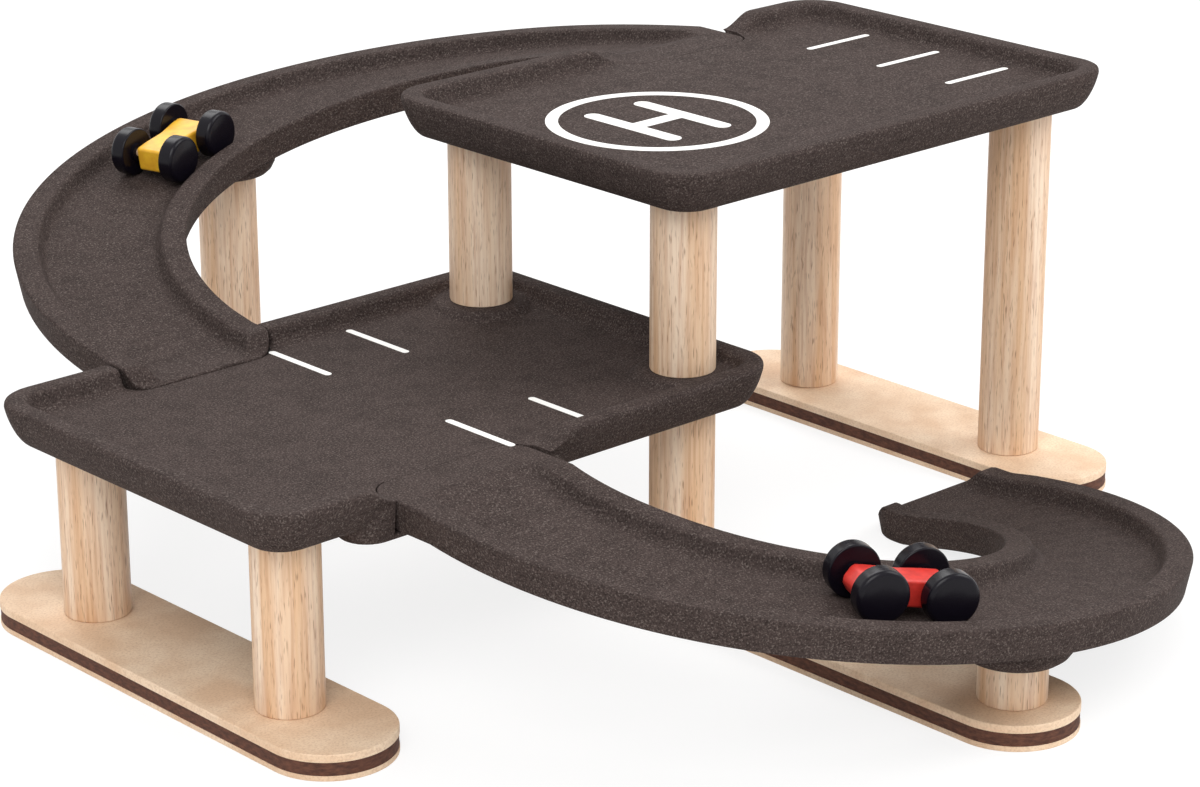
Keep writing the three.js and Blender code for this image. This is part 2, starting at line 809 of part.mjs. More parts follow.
// Stands a car on a ramp's channel, facing down the slope, inset towards the middle of the turn.
function parkOnRamp(car, turn, inset, isUpper) {
  const travel = startLength + rampRadius * turn
  const { outward } = rampPlace(travel)
  const radius = rampRadius - inset
  const floor = channelFloor(travel)
  const pitch = Math.atan(rampSlope * (rampRadius / radius))
  car.position.copy(outward).multiplyScalar(radius)
  car.position.y -= turnReach
  car.position.z = floor + carRideGap
  car.rotation.order = 'ZYX'
  car.rotation.y = pitch
  car.rotation.z = Math.atan2(outward.x, -outward.y)
  const holder = new THREE.Group()
  holder.add(car)
  if (isUpper) {
    holder.rotation.z = Math.PI
    holder.position.z = storeyRise
  }
  garage.add(holder)
}

// The yellow car stands against the inner rim, its wheels' round edges just over the rim's slope.
const yellowCarInset = carSideRoom + wheelEdgeRadius * rimOverlapShare
parkOnRamp(makeCar('red_car', redPaint), redCarTurn, 0, false)
parkOnRamp(makeCar('yellow_car', yellowPaint), yellowCarTurn, yellowCarInset, true)

export default garage
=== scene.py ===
# A wooden toy parking garage: two raised decks joined by half-turn ramps, with two small cars.
# Each section makes one piece or a group of like pieces, in metres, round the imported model.

import json
import math

import bmesh
import bpy
from mathutils import Matrix, Vector


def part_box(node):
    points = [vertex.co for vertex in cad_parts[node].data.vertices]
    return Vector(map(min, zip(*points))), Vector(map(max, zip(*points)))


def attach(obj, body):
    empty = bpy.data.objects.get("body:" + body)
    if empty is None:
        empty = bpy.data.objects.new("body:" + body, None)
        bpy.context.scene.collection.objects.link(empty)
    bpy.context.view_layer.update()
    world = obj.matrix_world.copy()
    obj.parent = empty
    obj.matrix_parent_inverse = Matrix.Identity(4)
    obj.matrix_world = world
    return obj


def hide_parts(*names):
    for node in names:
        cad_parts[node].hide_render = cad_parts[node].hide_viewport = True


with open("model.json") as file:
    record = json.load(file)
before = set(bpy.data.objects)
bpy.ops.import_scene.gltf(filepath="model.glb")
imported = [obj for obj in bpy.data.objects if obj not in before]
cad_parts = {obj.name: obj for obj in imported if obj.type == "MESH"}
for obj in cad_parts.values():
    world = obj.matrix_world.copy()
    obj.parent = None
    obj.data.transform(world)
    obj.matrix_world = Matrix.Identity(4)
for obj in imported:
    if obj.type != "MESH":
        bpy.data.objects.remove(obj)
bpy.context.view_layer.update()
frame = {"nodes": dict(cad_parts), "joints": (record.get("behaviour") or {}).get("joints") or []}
scene = bpy.context.scene
mm = 0.001

# Camera. It stands to the left in front of the garage, a little above it, with a long lens, as the
# photograph was taken. Its focal length is in pixels of the 1200 pixel wide picture.
camera_place = (-1.0399, -1.1385, 0.6274)
camera_yaw = math.radians(42.769)
camera_pitch = math.radians(19.645)
camera_roll = math.radians(-0.081)
camera_sight = 50
focal_pixels = 3511.9
picture_width = 1200

bpy.ops.object.camera_add()
camera = bpy.context.object
turn = Matrix.Rotation(-camera_yaw, 4, "Z") @ Matrix.Rotation(math.pi / 2 - camera_pitch, 4, "X")
roll = Matrix.Rotation(camera_roll, 4, "Z")
camera.matrix_world = Matrix.Translation(camera_place) @ turn @ roll
camera.data.lens = camera.data.sensor_width * focal_pixels / picture_width
camera.data.clip_end = camera_sight
scene.camera = camera

# Studio. A white sweep under soft light from all round and three broad lamps: from the left and
# the right in front and from behind. The floor shows white but keeps the soft shadow.
floor_size = 12
floor_colour = "#f2f0ee"
floor_shade = "#8c8b8a"
floor_glow = 0.8
world_colour = "#ffffff"
world_strength = 0.62
lamps = [
    # place, size, watts
    ((-1.4, -1.3, 2.0), 1.6, 34),
    ((1.6, -1.4, 1.9), 1.6, 29),
    ((0.7, 1.5, 2.2), 1.8, 34),
]


def linear(hex_colour):
    """The linear colour of an sRGB hex value."""
    channels = [int(hex_colour[i : i + 2], 16) / 255 for i in (1, 3, 5)]
    return [c / 12.92 if c <= 0.04045 else ((c + 0.055) / 1.055) ** 2.4 for c in channels] + [1]


def set_inputs(tree, target, inputs):
    """Gives each input of a node a value, an output socket, or another node's first output."""
    for name, value in inputs.items():
        if isinstance(value, bpy.types.Node):
            value = value.outputs[0]
        if isinstance(value, bpy.types.NodeSocket):
            tree.links.new(value, target.inputs[name])
        else:
            target.inputs[name].default_value = value


def add_node(tree, kind, inputs, **settings):
    made = tree.nodes.new(kind)
    for name, value in settings.items():
        setattr(made, name, value)
    set_inputs(tree, made, inputs)
    return made


def seen_directly(tree):
    """1 where a surface is looked at, also in a mirror or through glass, and 0 where it lights."""
    rays = add_node(tree, "ShaderNodeLightPath", {}).outputs
    seen = rays["Is Camera Ray"]
    for kind in ("Is Glossy Ray", "Is Transmission Ray"):
        seen = add_node(tree, "ShaderNodeMath", {0: seen, 1: rays[kind]}, operation="MAXIMUM")
    return seen


def light_the_world():
    scene.world = bpy.data.worlds.new("studio")
    scene.world.use_nodes = True
    tree = scene.world.node_tree
    tree.nodes.clear()
    strength = add_node(tree, "ShaderNodeMix",
                        {0: seen_directly(tree), 2: world_strength, 3: 1}, data_type="FLOAT")
    background = add_node(tree, "ShaderNodeBackground",
                          {"Color": linear(world_colour), "Strength": strength})
    add_node(tree, "ShaderNodeOutputWorld", {"Surface": background})


def white_sweep():
    """Seamless white paper: it shows white, and lights the object as pale matt paper does."""
    material = bpy.data.materials.new("white_sweep")
    material.use_nodes = True
    tree = material.node_tree
    tree.nodes.clear()
    seen = seen_directly(tree)
    colour = add_node(tree, "ShaderNodeMix",
                      {0: seen, 6: linear(floor_colour), 7: linear(floor_shade)}, data_type="RGBA")
    paper = add_node(tree, "ShaderNodeBsdfDiffuse", {"Color": colour.outputs[2]})
    strength = add_node(tree, "ShaderNodeMath", {0: seen, 1: floor_glow}, operation="MULTIPLY")
    glow = add_node(tree, "ShaderNodeEmission",
                    {"Color": linear(world_colour), "Strength": strength})
    both = add_node(tree, "ShaderNodeAddShader", {0: paper, 1: glow})
    add_node(tree, "ShaderNodeOutputMaterial", {"Surface": both})
    return material


bpy.ops.mesh.primitive_plane_add(size=floor_size)
studio_floor = bpy.context.object
studio_floor.name = "studio_floor"
studio_floor.data.materials.append(white_sweep())
light_the_world()
for place, size, watts in lamps:
    bpy.ops.object.light_add(type="AREA", location=place)
    lamp = bpy.context.object
    lamp.data.size = size
    lamp.data.energy = watts
    lamp.rotation_euler = (-Vector(place)).to_track_quat("-Z", "Y").to_euler()
scene.view_settings.view_transform = "Standard"

# Posts. Turned dowels of a pale hardwood with long dark pores, sanded and clear-coated. Each has a
# blind hole for a pin in its head and for a pin or a screw in its foot, and small chamfers.
post_facets = 64
post_chamfer = 0.8 * mm
post_chamfer_steps = 2
pin_hole_radius = 4.05 * mm
pin_hole_depth = 8.4 * mm
pin_seat = 7.4 * mm
screw_hole_radius = 2.08 * mm
screw_hole_depth = 8.7 * mm
wood_light = "#f2dbc2"
wood_middle = "#e2bc96"
wood_dark = "#b98059"
wood_pore = "#8a5a3c"
wood_marks = [
    # width and length of the bands, streaks and pores, and the detail and roughness of their noise.
    # Real pores are 0.2 mm wide, too fine to show, so they are drawn at 0.6 mm.
    (9 * mm, 250 * mm, 3, 0.5),
    (1.5 * mm, 40 * mm, 4, 0.6),
    (0.6 * mm, 7 * mm, 1, 0.5),
]
# Points nearer than closeness count as one place, and a face looks squarely along an axis when its
# normal has more than this share of it.
closeness = 0.01 * mm
squarely = 0.99
even_angle = 35


def new_material(name):
    """A material with its Principled shader, and the place of each point on the piece."""
    material = bpy.data.materials.new(name)
    material.use_nodes = True
    tree = material.node_tree
    place = add_node(tree, "ShaderNodeTexCoord", {}).outputs["Object"]
    return material, tree, tree.nodes["Principled BSDF"], place


def lay_colours(tree, ground, layers):
    """Lays colours over a ground colour. A layer is a pattern, the values at which it starts and
    is full, its share of the colour where it is full, and its own colour."""
    colour = linear(ground)
    for pattern, start, full, share, over in layers:
        amount = add_node(tree, "ShaderNodeMapRange",
                          {"Value": pattern, "From Min": start, "From Max": full, "To Max": share})
        colour = add_node(tree, "ShaderNodeMix",
                          {0: amount, 6: colour, 7: linear(over)}, data_type="RGBA").outputs[2]
    return colour


def clear_coated_hardwood():
    """Rubberwood, turned and clear-coated: pale pink-brown, with streaks and short brown pores."""
    material, tree, shader, place = new_material("clear_coated_hardwood")
    marks = []
    for width, length, detail, roughness in wood_marks:
        lie = add_node(tree, "ShaderNodeMapping", {"Vector": place, "Scale": (1, 1, width / length)})
        marks.append(add_node(
            tree, "ShaderNodeTexNoise",
            {"Vector": lie, "Scale": 1 / width, "Detail": detail, "Roughness": roughness}))
    band, streak, pore = marks
    relief = add_node(tree, "ShaderNodeBump",
                      {"Height": streak, "Strength": 0.12, "Distance": 0.1 * mm})
    set_inputs(tree, shader, {
        "Base Color": lay_colours(tree, wood_middle, [
            (band, 0.38, 0.62, 1, wood_light),
            (streak, 0.42, 0.74, 0.6, wood_dark),
            (pore, 0.6, 0.74, 0.65, wood_pore),
        ]),
        "Roughness": 0.48,
        "IOR": 1.5,
        "Normal": relief,
    })
    return material


def choose(piece):
    """Makes a piece the only selected one and the active one."""
    bpy.ops.object.select_all(action="DESELECT")
    piece.select_set(True)
    bpy.context.view_layer.objects.active = piece


def open_piece(piece):
    choose(piece)
    bpy.ops.object.mode_set(mode="EDIT")


def close_piece():
    bpy.ops.object.mode_set(mode="OBJECT")


def pick(kind, test):
    """Selects the verts, edges or faces of the open mesh that pass a test, and nothing else."""
    modes = {"verts": "VERT", "edges": "EDGE", "faces": "FACE"}
    bpy.ops.mesh.select_mode(type=modes[kind])
    bpy.ops.mesh.select_all(action="DESELECT")
    mesh = bpy.context.object.data
    shape = bmesh.from_edit_mesh(mesh)
    for part in getattr(shape, kind):
        if test(part):
            part.select_set(True)
    bmesh.update_edit_mesh(mesh)


def round_edges(size, steps, clamped=False):
    bpy.ops.mesh.bevel(offset=size, segments=steps, affect="EDGES", clamp_overlap=clamped)


def draw_out(x, y, z):
    """Extrudes the picked faces by a step."""
    bpy.ops.mesh.extrude_region_move(TRANSFORM_OT_translate={"value": (x, y, z)})


def settle(piece):
    """Moves a piece's place, turn and size into its mesh, so that its object is at the origin."""
    choose(piece)
    bpy.ops.object.transform_apply(location=True, rotation=True, scale=True)


def add_cylinder(facets, radius, length, middle, turn=(0, 0, 0)):
    bpy.ops.mesh.primitive_cylinder_add(
        vertices=facets, radius=radius, depth=length, location=middle, rotation=turn)
    cylinder = bpy.context.object
    settle(cylinder)
    return cylinder


def apply_modifier(piece, kind, **settings):
    choose(piece)
    modifier = piece.modifiers.new(kind, kind)
    for name, value in settings.items():
        setattr(modifier, name, value)
    bpy.ops.object.modifier_apply(modifier=modifier.name)


def smooth(piece, degrees=even_angle):
    """Shades the rounded faces smooth and keeps the flat ones flat."""
    choose(piece)
    bpy.ops.object.shade_smooth_by_angle(angle=math.radians(degrees))
    apply_modifier(piece, "WEIGHTED_NORMAL", keep_sharp=True)


def give_finish(piece, material):
    piece.data.materials.clear()
    piece.data.materials.append(material)


def dress(piece, material, body, node):
    """Gives a piece its finish, its body and the node that it stands for."""
    give_finish(piece, material)
    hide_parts(node)
    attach(piece, body)


def nodes_ending(ending):
    return [node for node in sorted(frame["nodes"]) if node.endswith(ending)]


def end_face(top):
    return lambda face: abs(face.normal.z) > squarely and (face.normal.z > 0) == top


def lies_level(edge):
    return abs(edge.verts[0].co.z - edge.verts[1].co.z) < closeness


def drill_end(top, post_radius, radius, depth):
    """Sinks a blind round hole into the head or the foot of the open post."""
    pick("faces", end_face(top))
    bpy.ops.mesh.inset(thickness=post_radius - radius)
    draw_out(0, 0, -depth if top else depth)


def make_post(node):
    low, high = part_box(node)
    radius = (high.x - low.x) / 2
    post = add_cylinder(post_facets, radius, high.z - low.z, (low + high) / 2)
    post.name = node + "_dowel"
    open_piece(post)
    pick("edges", lies_level)
    round_edges(post_chamfer, post_chamfer_steps)
    stands_on_deck = node.endswith("upper_post")
    foot_radius = pin_hole_radius if stands_on_deck else screw_hole_radius
    foot_depth = pin_hole_depth if stands_on_deck else screw_hole_depth
    flat_radius = radius - post_chamfer
    drill_end(True, flat_radius, pin_hole_radius, pin_hole_depth)
    drill_end(False, flat_radius, foot_radius, foot_depth)
    close_piece()
    smooth(post)
    dress(post, hardwood, "garage", node)


hardwood = clear_coated_hardwood()
for node in nodes_ending("_post"):
    make_post(node)

# Dowel pins. Short rods of the same hardwood that join the posts to the decks and ramps. Hidden
# inside them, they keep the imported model's plain solids and only get the wood's finish.
for node in nodes_ending("_pin"):
    give_finish(frame["nodes"][node], hardwood)

# Base plates. Each is sawn from fibreboard with a pale face and back on a dark brown core, with
# round ends, eased edges, and countersunk holes for the screws that come up from below.
plate_end_steps = 20
plate_edge = 0.6 * mm
plate_edge_steps = 3
countersink_radius = 4.08 * mm
countersink_start = 0.7 * mm
countersink_end = 2.7 * mm
screw_hole_reach = 20 * mm
screw_hole_facets = 32
board_pale = "#f6dcbf"
board_warm = "#e6c4a3"
board_fleck = "#c39b78"
board_cloud_width = 22 * mm
# Real fibres are a few tenths of a millimetre wide, and are drawn as coarse as they need to show.
board_fibre_width = 1.1 * mm
core_fibre_width = 1.4 * mm
core_fibre_length = 4 * mm
core_brown = "#6a4231"
core_dark = "#45281d"
upright_share = 0.9


def pale_fibreboard():
    """Fibreboard's sanded face: cream, faintly cloudy, with short flecks of fibre."""
    material, tree, shader, place = new_material("pale_fibreboard")
    cloud = add_node(tree, "ShaderNodeTexNoise",
                     {"Vector": place, "Scale": 1 / board_cloud_width, "Detail": 3})
    fibre = add_node(tree, "ShaderNodeTexNoise",
                     {"Vector": place, "Scale": 1 / board_fibre_width, "Detail": 3, "Roughness": 0.65})
    relief = add_node(tree, "ShaderNodeBump",
                      {"Height": fibre, "Strength": 0.1, "Distance": 0.1 * mm})
    set_inputs(tree, shader, {
        "Base Color": lay_colours(tree, board_warm, [
            (cloud, 0.35, 0.65, 1, board_pale),
            (fibre, 0.45, 0.7, 0.5, board_fleck),
        ]),
        "Roughness": 0.6,
        "IOR": 1.48,
        "Normal": relief,
    })
    return material


def dark_fibreboard():
    """The bare sawn edge of a dark fibreboard core: brown, rough, with layered fibres."""
    material, tree, shader, place = new_material("dark_fibreboard")
    flat = core_fibre_width / core_fibre_length
    lie = add_node(tree, "ShaderNodeMapping", {"Vector": place, "Scale": (flat, flat, 1)})
    fibre = add_node(tree, "ShaderNodeTexNoise",
                     {"Vector": lie, "Scale": 1 / core_fibre_width, "Detail": 3, "Roughness": 0.65})
    relief = add_node(tree, "ShaderNodeBump",
                      {"Height": fibre, "Strength": 0.4, "Distance": 0.2 * mm})
    set_inputs(tree, shader, {
        "Base Color": lay_colours(tree, core_dark, [(fibre, 0.35, 0.68, 1, core_brown)]),
        "Roughness": 0.85,
        "Normal": relief,
    })
    return material


def combine(piece, tool, operation):
    """Joins a tool to a piece, or cuts it out, and removes the tool."""
    apply_modifier(piece, "BOOLEAN", operation=operation, object=tool, solver="EXACT")
    bpy.data.objects.remove(tool)


def add_block(corner, other_corner):
    """A block between two opposite corners, with its place in its mesh."""
    low = Vector(map(min, corner, other_corner))
    high = Vector(map(max, corner, other_corner))
    bpy.ops.mesh.primitive_cube_add(size=1, location=(low + high) / 2, scale=high - low)
    block = bpy.context.object
    settle(block)
    return block


def is_upright(edge):
    first, second = (v.co for v in edge.verts)
    return abs(first.z - second.z) > upright_share * (first - second).length


def level_edge(edge, z):
    return all(abs(v.co.z - z) < closeness for v in edge.verts)


def screw_hole_tool(x, y):
    """The space of a countersunk hole, wide below the plate's underside."""
    middle = (x, y, countersink_end + screw_hole_reach / 2)
    tool = add_cylinder(screw_hole_facets, screw_hole_radius, screw_hole_reach, middle)
    open_piece(tool)
    pick("faces", end_face(False))
    draw_out(0, 0, countersink_start - countersink_end)
    widen = countersink_radius / screw_hole_radius
    bpy.ops.transform.resize(value=(widen, widen, 1))
    draw_out(0, 0, -2 * countersink_end)
    close_piece()
    return tool


def make_plate_layer(node, material, eased, screws):
    low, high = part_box(node)
    layer = add_block(low, high)
    layer.name = node + "_board"
    open_piece(layer)
    pick("edges", is_upright)
    round_edges((high.x - low.x) / 2, plate_end_steps, clamped=True)
    bpy.ops.mesh.select_all(action="SELECT")
    bpy.ops.mesh.remove_doubles(threshold=closeness)
    if eased:
        level = high.z if eased == "top" else low.z
        pick("edges", lambda edge: level_edge(edge, level))
        round_edges(plate_edge, plate_edge_steps)
    close_piece()
    for screw in screws:
        if low.x < screw.x < high.x and low.y < screw.y < high.y:
            combine(layer, screw_hole_tool(screw.x, screw.y), "DIFFERENCE")
    smooth(layer)
    dress(layer, material, "garage", node)


def middle_of(node):
    low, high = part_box(node)
    return (low + high) / 2


fibreboard = pale_fibreboard()
fibreboard_core = dark_fibreboard()
screw_places = [middle_of(node) for node in nodes_ending("_screw")]
for side in ("left", "middle", "right"):
    for layer, material, slot, eased in (
        ("back", fibreboard, "board_layer", "bottom"),
        ("core", fibreboard_core, "board_core", None),
        ("face", fibreboard, "board_layer", "top"),
    ):
        make_plate_layer(f"{side}_plate_{layer}", material, eased, screw_places)

# Screws. Zinc-plated steel, countersunk, with a cross slot. Driven up through the plates into the
# posts, they only show their heads, from below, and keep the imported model's solids.
zinc = "#b9bcc0"
zinc_cloud = 1 * mm


def zinc_plated_steel():
    """Bright zinc on steel: a cool grey metal whose plating is a little cloudy."""
    material, tree, shader, place = new_material("zinc_plated_steel")
    cloud = add_node(tree, "ShaderNodeTexNoise",
                     {"Vector": place, "Scale": 1 / zinc_cloud, "Detail": 3})
    rough = add_node(tree, "ShaderNodeMapRange",
                     {"Value": cloud, "From Min": 0.3, "From Max": 0.7, "To Min": 0.25, "To Max": 0.4})
    set_inputs(tree, shader, {"Base Color": linear(zinc), "Metallic": 1, "Roughness": rough})
    return material


steel = zinc_plated_steel()
for node in nodes_ending("_screw"):
    give_finish(frame["nodes"][node], steel)

# Decks. Trays pressed from dark wood-fibre composite: walls that swell outwards, a soft raised rim
# round a flat floor, pockets in the rim where the ramps' ends lie between rounded rim ends, and
# collars round the upper posts.
deck_corner = 22 * mm
deck_wall = [
    # distance inside the deck's edge and height above its underside, from the crest down
    (0.0 * mm, 17.0 * mm),
    (0.4 * mm, 15.4 * mm),
    (1.1 * mm, 12.8 * mm),
    (2.0 * mm, 10.2 * mm),
    (3.2 * mm, 7.4 * mm),
    (4.7 * mm, 4.6 * mm),
    (6.4 * mm, 2.2 * mm),
    (8.0 * mm, 0.6 * mm),
    (9.2 * mm, 0.0 * mm),
]
rim_width = 9.9 * mm
rim_slope = 3.8 * mm
rim_height = 8.4 * mm
rim_reach = rim_width + rim_slope
crest_round = 1.6 * mm
crest_inner_round = 2.2 * mm
floor_round = 3.5 * mm
nose_round = 8 * mm
toe_nose_round = 2 * mm
rim_end_length = 18 * mm
rim_end_share = 0.12
tongue_length = 22 * mm
tongue_thickness = 15 * mm
tongue_corner = 11 * mm
toe_seat = 7 * mm
toe_inner_corner = 17 * mm
toe_outer_corner = 9 * mm
ramp_width = 83 * mm
pocket_gap = 0.3 * mm
overrun = 2 * mm
ledge_reach = 18 * mm
ledge_wall = 3.3 * mm
ledge_inner_wall = 10 * mm
ledge_top_drop = 2 * mm
ledge_end_share = 0.98
ledge_outline = [
    # distance inside the ledge's own edge and height above its underside, from its top down
    (0.0, 15.0 * mm),
    (0.2 * mm, 11.0 * mm),
    (0.6 * mm, 7.0 * mm),
    (1.2 * mm, 3.5 * mm),
    (2.0 * mm, 1.2 * mm),
    (3.0 * mm, 0.0 * mm),
]
collar_profile = [
    # radius and height above the floor
    (25.5 * mm, 0),
    (24.2 * mm, 0.7 * mm),
    (22.9 * mm, 1.9 * mm),
    (21.8 * mm, 3.2 * mm),
    (20.6 * mm, 3.85 * mm),
    (19.5 * mm, 4.0 * mm),
]
slope_looks = (0.1, 0.9)
wall_looks = (-1, 0.05)
corner_steps = 12
nose_steps = 10
edge_steps = 5
least_hole_facets = 32
radius_per_facet = 0.4 * mm
pressing_voxel = 1.1 * mm
pressing_rounds = 3
pressing_strength = 0.5
pressing_thinning = 0.42
pressed_angle = 30
composite_dark = "#2a2321"
composite_middle = "#504542"
composite_pale = "#8c817b"
# Real grains are half as wide and less, and are drawn as coarse as they need to show.
composite_grain = 0.9 * mm
composite_fleck = 0.8 * mm
composite_cloud = 14 * mm
strata_height = 1.3 * mm
strata_length = 12 * mm


def moulded_composite():
    """Pressed wood fibre in a dark binder: matt, brown-black, with pale and dark grains all over
    and faint layers that show on the walls."""
    material, tree, shader, place = new_material("moulded_composite")
    flat = strata_height / strata_length
    lie = add_node(tree, "ShaderNodeMapping", {"Vector": place, "Scale": (flat, flat, 1)})
    grain, cloud, strata, fleck = (
        add_node(tree, "ShaderNodeTexNoise",
                 {"Vector": where, "Scale": 1 / size, "Detail": detail, "Roughness": roughness})
        for where, size, detail, roughness in (
            (place, composite_grain, 3, 0.6),
            (place, composite_cloud, 3, 0.6),
            (lie, strata_height, 2, 0.5),
            (place, composite_fleck, 1, 0.5),
        )
    )
    relief = add_node(tree, "ShaderNodeBump",
                      {"Height": grain, "Strength": 0.25, "Distance": 0.25 * mm})
    set_inputs(tree, shader, {
        "Base Color": lay_colours(tree, composite_dark, [
            (grain, 0.34, 0.66, 1, composite_middle),
            (cloud, 0.3, 0.7, 0.3, composite_middle),
            (strata, 0.45, 0.7, 0.35, composite_dark),
            (fleck, 0.56, 0.72, 0.4, composite_pale),
        ]),
        "Roughness": 0.75,
        "IOR": 1.5,
        "Specular IOR Level": 0.045,
        "Normal": relief,
    })
    return material


def ease(share):
    share = min(max(share, 0), 1)
    return share * share * (3 - 2 * share)


def mixed(first, second, share):
    return first + (second - first) * share


def swell_down(profile):
    """Draws the underside of the open piece down through rings of a wall profile."""
    pick("faces", end_face(False))
    for (inset, height), (wider, higher) in zip(profile[1:], profile):
        bpy.ops.mesh.inset(thickness=inset - wider, depth=higher - height)


def draw_rings(profile):
    """Draws the picked face up through rings of a radius and a height."""
    for (radius, height), (before, lower) in zip(profile[1:], profile):
        draw_out(0, 0, height - lower)
        bpy.ops.transform.resize(value=(radius / before, radius / before, 1))


def crest_edge(edge, z, looks):
    """Whether an edge at height z has a steeper side whose normal rises between two limits."""
    steeper = min(face.normal.z for face in edge.link_faces)
    return level_edge(edge, z) and looks[0] < steeper < looks[1]


def tray(low, high):
    """The tray before its ends are cut: floor, rim and wall."""
    piece = add_block(low + Vector((0, 0, deck_wall[0][1])), high)
    open_piece(piece)
    pick("edges", is_upright)
    round_edges(deck_corner, corner_steps)
    swell_down(deck_wall)
    pick("faces", end_face(True))
    bpy.ops.mesh.inset(thickness=rim_width)
    bpy.ops.mesh.inset(thickness=rim_slope, depth=-rim_height)
    pick("edges", lambda edge: level_edge(edge, high.z - rim_height))
    round_edges(floor_round, edge_steps)
    pick("edges", lambda edge: crest_edge(edge, high.z, slope_looks))
    round_edges(crest_inner_round, edge_steps)
    pick("edges", lambda edge: crest_edge(edge, high.z, wall_looks))
    round_edges(crest_round, edge_steps)
    close_piece()
    return piece


def pocket_tool(edge_y, inner_y, floor_z, corners):
    """The space that a ramp's end takes out of a deck, open past the deck's long edge."""
    sign = 1 if inner_y > edge_y else -1
    inner = inner_y + sign * pocket_gap
    tool = add_block((ramp_middle - pocket_half, edge_y - sign * overrun, floor_z),
                     (ramp_middle + pocket_half, inner, deck_top))
    open_piece(tool)
    for side, corner in zip((-1, 1), corners):
        pick("edges", lambda edge: is_upright(edge) and abs(edge.verts[0].co.y - inner) < closeness
             and (edge.verts[0].co.x - ramp_middle) * side > squarely * pocket_half)
        round_edges(corner + pocket_gap, corner_steps)
    close_piece()
    return tool


def flare_tool(edge_y, stay_y, bottom, top, rounding):
    """The space between two rim ends, which stay round in plan from the edge to stay_y."""
    sign = 1 if stay_y > edge_y else -1
    reach = pocket_half + rounding
    tool = add_block((ramp_middle - reach, edge_y - sign * overrun, bottom),
                     (ramp_middle + reach, stay_y + sign * overrun, top))
    for side in (-1, 1):
        near = ramp_middle + side * pocket_half
        nose = add_block((near, edge_y, bottom - overrun),
                         (near + side * 2 * rounding, stay_y, top + overrun))
        open_piece(nose)
        pick("edges", lambda edge: is_upright(edge) and abs(edge.verts[0].co.x - near) < closeness)
        round_edges(rounding, nose_steps)
        close_piece()
        combine(tool, nose, "DIFFERENCE")
    return tool


def ledge_tool():
    """The rounded bar that carries a ramp's tongue under the deck's long edge."""
    half = ramp_width / 2 + ledge_reach
    outer_y = lower_low.y + deck_wall[3][0]
    inner_y = -ramp_end + ledge_inner_wall
    start = tongue_bottom - ledge_wall + ledge_outline[0][1]
    bar = add_block((ramp_middle - half, outer_y, start), (ramp_middle + half, inner_y, ledge_top))
    open_piece(bar)
    pick("edges", is_upright)
    round_edges(ledge_end_share * (inner_y - outer_y) / 2, corner_steps)
    swell_down(ledge_outline)
    close_piece()
    return bar


def collar_tool(x, y):
    """The swelling of the floor round the foot of an upper post."""
    middle = (x, y, deck_floor - rim_height / 2)
    collar = add_cylinder(post_facets, collar_profile[0][0], rim_height, middle)
    open_piece(collar)
    pick("faces", end_face(True))
    draw_rings(collar_profile)
    close_piece()
    return collar


def round_hole_tool(x, y, radius, bottom, top):
    facets = max(least_hole_facets, round(radius / radius_per_facet))
    return add_cylinder(facets, radius, top - bottom, (x, y, (bottom + top) / 2))


def press_soft(piece):
    """Rounds every edge as pressing does: an even mesh is smoothed, then thinned where it is flat."""
    apply_modifier(piece, "REMESH", mode="VOXEL", voxel_size=pressing_voxel)
    apply_modifier(piece, "SMOOTH", factor=pressing_strength, iterations=pressing_rounds)
    apply_modifier(piece, "DECIMATE", ratio=pressing_thinning)


def sink_rim_ends(deck, edge_y):
    """Lets the rim sink towards the floor where it ends beside a ramp's tongue."""
    for vertex in deck.data.vertices:
        rise = vertex.co.z - deck_floor
        if rise > 0 and abs(vertex.co.y - edge_y) < rim_reach + overrun:
            gone = abs(vertex.co.x - ramp_middle) - ramp_width / 2
            share = mixed(rim_end_share, 1, ease(gone / rim_end_length))
            vertex.co.z = deck_floor + rise * share


def take_upstairs(piece):
    """Raises a piece made for the lower storey by one storey and turns it half round."""
    piece.matrix_world = Matrix.Translation((0, 0, storey_rise)) @ Matrix.Rotation(math.pi, 4, "Z")
    settle(piece)


composite = moulded_composite()
lower_low, lower_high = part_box("lower_deck")
storey_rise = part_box("upper_deck")[1].z - lower_high.z
left_post_low, left_post_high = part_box("left_front_post")
outer_row_x = (left_post_low.x + left_post_high.x) / 2
ramp_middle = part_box("lower_ramp")[0].x + ramp_width / 2
pocket_half = ramp_width / 2 + pocket_gap
deck_bottom = left_post_high.z
deck_floor = lower_high.z - rim_height
deck_top = lower_high.z + overrun
tongue_bottom = deck_floor - tongue_thickness
ledge_top = deck_floor - ledge_top_drop
ramp_end = -lower_low.y - tongue_length


